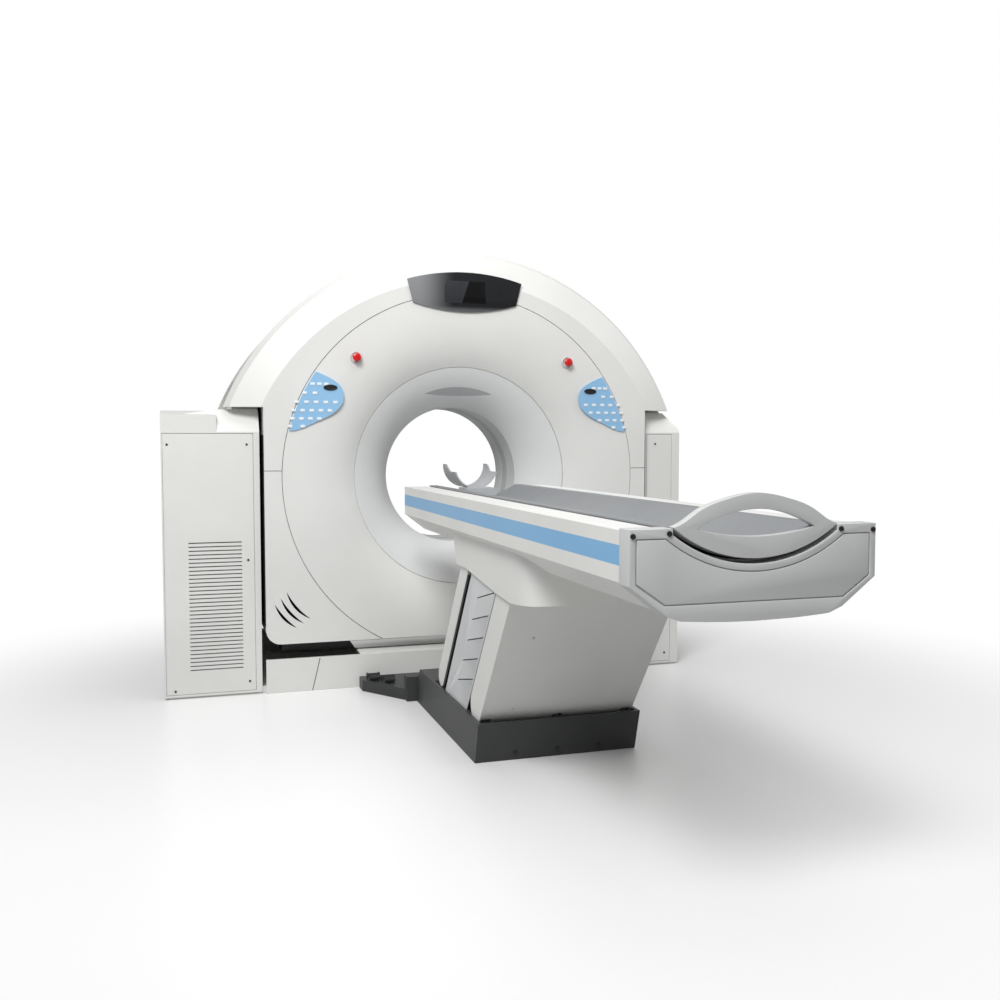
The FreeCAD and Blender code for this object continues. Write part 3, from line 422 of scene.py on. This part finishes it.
def merged_copy(node, name):
    """A copy of a CAD node whose faces share their corners."""
    piece = bpy.data.objects.new(name, nodes[node].data.copy())
    bpy.context.scene.collection.objects.link(piece)
    pick_out(piece)
    edit_whole("remove_doubles", threshold=0.00002)
    return piece


def softened(node, width, segments=3):
    """A copy of a CAD node with its sharp edges rounded, in the node's place."""
    piece = merged_copy(node, node + "_soft")
    edit_whole("dissolve_limited", angle_limit=math.radians(1.5))
    rounded(piece, width, segments, 32)
    finish_piece(piece, node + "_soft", body_of[node], slot_of[node], nodes[node].data.materials[0])
    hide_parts(node)


def lean_back(piece, pivot):
    """Turn an upright piece about a pivot of the lift, to the slant of the posts."""
    there, back = Matrix.Translation(pivot), Matrix.Translation([-v for v in pivot])
    piece.data.transform(there @ Matrix.Rotation(math.radians(36.5), 4, "X") @ back)


# ---------------------------------------------------------------- front of the gantry
SIDES = (("left", -1), ("right", 1))
gantry = body_of["centre_cover"]


def stop_button(side, sign):
    """A mushroom push button in a pale collar."""
    node = side + "_emergency_button"
    low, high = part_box(node)
    x, face, z = sign * 0.505, low[1], (low[2] + high[2]) / 2
    cap = disc((x, face + 0.006, z), 0.0185, 0.012, 40)
    inset_front(cap, (0.006, 0.0025), (0.006, 0.001))
    rounded(cap, 0.0018, 3)
    stem = disc((x, face + 0.025, z), 0.0128, 0.030, 32)
    rounded(stem, 0.001, 2)
    button = join([cap, stem])
    finish_piece(button, side + "_stop_cap", side + "_stop_button", "stop_red")
    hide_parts(node)
    collar = start("torus", major_radius=0.0240, minor_radius=0.0045, major_segments=48, minor_segments=14,
                   rotation=(QUARTER, 0, 0), location=(x, FRONT + 0.0005, z))
    collar.scale = (1, 1, 0.8)
    finish_piece(collar, side + "_stop_collar", gantry, "end_grey", round_angle=60)


# height above the bore's axis, first and last x, and the number of keys in the row
KEY_ROWS = (
    (0.415, 0.640, 0.700, 3),
    (0.375, 0.690, 0.735, 2),
    (0.335, 0.600, 0.770, 5),
    (0.298, 0.625, 0.785, 5),
    (0.262, 0.672, 0.790, 4),
    (0.228, 0.745, 0.800, 2),
)


def key_panel(side, sign):
    """Raised keys in rows on one key panel, and its oval rocker."""
    face = FRONT - 0.005
    keys = []
    for up, near, far, count in KEY_ROWS:
        for n in range(count):
            x = near + (far - near) * n / (count - 1)
            key = block((sign * x, face, ISO + up), (0.020, 0.004, 0.012))
            rounded(key, 0.0014, 2)
            keys.append(key)
    finish_piece(join(keys), side + "_keys", gantry, "keypad_blue", key_white)
    rocker = disc((sign * 0.622, face, ISO + 0.400), 0.5, 0.008, 40, (0.062, 0.026, 1))
    inset_front(rocker, (0.004, -0.0015))
    rounded(rocker, 0.0015, 2)
    finish_piece(rocker, side + "_rocker", gantry, "display_black", screw_black)


for side, sign in SIDES:
    stop_button(side, sign)

# screen, just proud of the lens
SCREEN_HALF_W, SCREEN_HALF_H = 0.098, 0.050
lens_low, lens_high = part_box("display_panel")
lens_mid, lens_face = (lens_low[2] + lens_high[2]) / 2, lens_low[1]
slab("display_screen", (-SCREEN_HALF_W, lens_face - 0.0012, lens_mid - SCREEN_HALF_H),
     (SCREEN_HALF_W, lens_face + 0.002, lens_mid + SCREEN_HALF_H), gantry, "display_black", screen_dark)
softened("display_panel", 0.003)

for side, sign in SIDES:
    key_panel(side, sign)

# black sheets in the gaps beside the towers, painted shade standing in for the shadow in these gaps
side_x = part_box("side_covers")[1][0]
for side, sign in SIDES:
    x0, x1 = sorted((sign * (side_x - 0.0005), sign * (side_x + 0.003)))
    slab(side + "_gap_shade_sheet", (x0, FRONT + 0.010, 0.300), (x1, 0.395, 1.150), gantry, "belly_black")

# raised cap on the crown of the arch, following its curve
ARCH_R, ARCH_Z = 1.165, 0.838  # radius of the arch, and height of its centre
crown = block((0, -0.16, ARCH_Z + ARCH_R + 0.002), (0.26, 0.22, 0.020))
edit_whole("subdivide", number_cuts=7)
for vertex in crown.data.vertices:
    vertex.co.z -= ARCH_R - math.sqrt(ARCH_R**2 - vertex.co.x**2)
rounded(crown, 0.006)
finish_piece(crown, "crown_cap", gantry, "cover_white")

# ---------------------------------------------------------------- screws, plugs and louvres
tower_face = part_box("left_front_panel")[0][1]
end_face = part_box("end_plate")[0][1]
plinth_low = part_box("table_plinth")[0]
CABINET_SCREWS = (
    (-1.318, 1.108), (-0.985, 1.108), (-0.985, 0.600), (-0.985, 0.060), (-1.300, 0.035),
    (0.985, 1.108), (1.045, 0.060),
)
END_SCREWS = ((-0.3165, 0.9125), (-0.2265, 0.9165), (0.2265, 0.9165), (0.3165, 0.9125))
PLUGS = ((-0.158, 0.029), (0.0, 0.029), (0.158, 0.029))
for group, body, places, y, radius, height in (
    ("cabinet_screws", "stand", CABINET_SCREWS, tower_face - 0.0008, 0.005, 0.003),
    ("end_screws", "couch", END_SCREWS, end_face - 0.0012, 0.0065, 0.004),
    ("plinth_plugs", "stand", PLUGS, plinth_low[1] + 0.0355, 0.008, 0.006),
):
    heads = [screw_head((x, y, z), radius, height) for x, z in places]
    finish_piece(join(heads), group, body, "display_black", screw_black)

# sloping blades behind the slits of the cabinet door
SLITS, SLIT_PITCH, SLIT_LOW = 33, 0.0174, 0.121
blade_x, blade_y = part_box("left_front_panel")[0][0] + 0.212, tower_face + 0.016
blades = []
for n in range(SLITS):
    blade_z = SLIT_LOW + SLIT_PITCH * n + 0.0025
    blades.append(block((blade_x, blade_y, blade_z), (0.228, 0.0012, 0.0165), (math.radians(-40), 0, 0)))
blades = join(blades)
rounded(blades, 0.0004, 1)
finish_piece(blades, "louvre_blades", "stand", "cover_white", by_slot["skirt_grey"])

# ---------------------------------------------------------------- table lift
skirt_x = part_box("pedestal_skirts")[1][0]
far_pivot, near_pivot = pivots["far_arm_swing"], pivots["table_lift"]

# black strips on the far lift post, painted shade standing in for the shadow in the gap to the side skirts
shade_strips = []
for side, sign in SIDES:
    strip_at = (sign * (skirt_x - 0.006), far_pivot[1] - 0.049, far_pivot[2] + 0.295)
    shade_strips.append(block(strip_at, (0.006, 0.018, 0.60)))
    rounded(shade_strips[-1], 0.0015, 2)
shade_strip = join(shade_strips)
lean_back(shade_strip, far_pivot)
finish_piece(shade_strip, "far_post_shade_strip", "far_lift_arm", "belly_black")

# side skirts, thinned from the inside to give the folding lift posts room
SKIRT_T, INNER_FACE = 0.0017, 0.003  # new thickness, and where the old plates' inner faces begin
skirts = merged_copy("pedestal_skirts", "lift_skirts")
for vertex in skirts.data.vertices:
    if abs(vertex.co.x) < skirt_x - INNER_FACE:
        vertex.co.x = math.copysign(skirt_x - SKIRT_T, vertex.co.x)
finish_piece(skirts, "lift_skirts", "stand", "skirt_grey")
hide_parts("pedestal_skirts")

# grey screws on the cover of the near lift post
MARK_X, MARK_FORWARD = -0.177, 0.0625
marks = join([
    screw_head((MARK_X, near_pivot[1] - MARK_FORWARD, near_pivot[2] + up), 0.006, 0.003)
    for up in (0.048, 0.408)
])
lean_back(marks, near_pivot)
finish_piece(marks, "near_cover_screws", body_of["near_arm_cover"], "end_grey")

# ---------------------------------------------------------------- between the covers and the floor
# pale keel under the tilting covers, rolled under like the hull of a boat
floor_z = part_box("lower_front_cover")[0][2]
KEEL_LINE = (  # y, height from the covers' lower edge, and half width, from front to back
    (-0.4175, -0.0003, 0.545),
    (-0.4125, -0.0190, 0.532),
    (-0.4000, -0.0360, 0.521),
    (-0.3800, -0.0460, 0.512),
)
keel = start("grid", x_subdivisions=12, y_subdivisions=3, size=1)
for vertex in keel.data.vertices:
    y, drop, half = KEEL_LINE[round((vertex.co.y + 0.5) * 3)]
    vertex.co = (vertex.co.x * 2 * half, y, floor_z + drop)
edit_whole("normals_make_consistent", inside=False)
modify(keel, "SOLIDIFY", thickness=0.003, offset=-1)
rounded(keel, 0.0008, 2, 50)
finish_piece(keel, "belly_keel", gantry, "cover_white", round_angle=60)

# pale ridge on the base below the keel, wider at its top and sloping down to the back
RIDGE_TOP_HALF, RIDGE_FOOT_HALF, RIDGE_FRONT, RIDGE_BACK = 0.507, 0.492, -0.388, -0.345
base_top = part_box("gantry_base")[1][2]
ridge = start("cube", size=1, location=(0, 0, 0))
for vertex in ridge.data.vertices:
    front, top = vertex.co.y < 0, vertex.co.z > 0
    half = RIDGE_TOP_HALF if top else RIDGE_FOOT_HALF
    up = (0.0245 if front else 0.004) if top else -0.001
    y = RIDGE_FRONT if front else RIDGE_BACK
    vertex.co = (math.copysign(half, vertex.co.x), y, base_top + up)
rounded(ridge, 0.002)
finish_piece(ridge, "base_ridge", "stand", "cover_white")

# slanting seam in the base's front wall
base_front = FRONT + 0.020
seam = block((-0.694, base_front - 0.0002, 0.073), (0.003, 0.0012, 0.150), (0, math.radians(13.5), 0))
rounded(seam, 0.0003, 1)
finish_piece(seam, "base_seam", "stand", "belly_black")

softened("cradle_handle", 0.010, 4)
softened("end_plate", 0.003)

# ---------------------------------------------------------------- floor, light, camera
floor = start("plane", size=160, location=(0, 0, -0.0005))
floor.name = "studio_floor"
floor.data.materials.append(floor_paint())

ROOM_LIGHT = 0.27  # strength of the light from all round; the camera sees plain white instead
world = bpy.data.worlds.new("studio")
bpy.context.scene.world = world
world.use_nodes = True
sky = Nodes(world.node_tree)
seen = sky.add("ShaderNodeLightPath", {}, {}, "Is Camera Ray")
room = sky.tree.nodes["Background"]
sky.feed(room.inputs["Color"], WHITE)
sky.feed(room.inputs["Strength"], ROOM_LIGHT)
backdrop = sky.add("ShaderNodeBackground", {}, {"Color": WHITE, "Strength": 1.0})
view = sky.add("ShaderNodeMixShader", {}, {0: seen, 1: Value(sky, room.outputs[0]), 2: backdrop})
sky.feed(sky.tree.nodes["World Output"].inputs[0], view)


def softbox(name, at, aim, width, height, power):
    """An area light that shines from one point towards another."""
    light = bpy.data.lights.new(name, "AREA")
    light.shape = "RECTANGLE"
    light.size, light.size_y, light.energy = width, height, power
    lamp = bpy.data.objects.new(name, light)
    bpy.context.scene.collection.objects.link(lamp)
    lamp.location = at
    lamp.rotation_euler = (Vector(aim) - Vector(at)).to_track_quat("-Z", "Y").to_euler()


softbox("key_softbox", (-2.5, -4.4, 5.0), (0, -0.6, 1.0), 2.2, 2.2, 285)
softbox("top_softbox", (0.6, -1.2, 5.0), (0, -0.9, 0.6), 3.2, 2.6, 70)
softbox("side_softbox", (4.6, -3.4, 3.0), (0, -0.8, 0.9), 2.2, 2.2, 30)

TILT_DOWN, TURN_RIGHT = 3.35, 17.58  # degrees
lens = bpy.data.cameras.new("camera")
lens.lens, lens.sensor_width = 36.82, 36.0
camera = bpy.data.objects.new("camera", lens)
bpy.context.scene.collection.objects.link(camera)
camera.location = (-1.282, -5.0, 1.127)
camera.rotation_euler = (math.radians(90 - TILT_DOWN), 0, math.radians(-TURN_RIGHT))
bpy.context.scene.camera = camera
bpy.context.scene.view_settings.view_transform = "Standard"
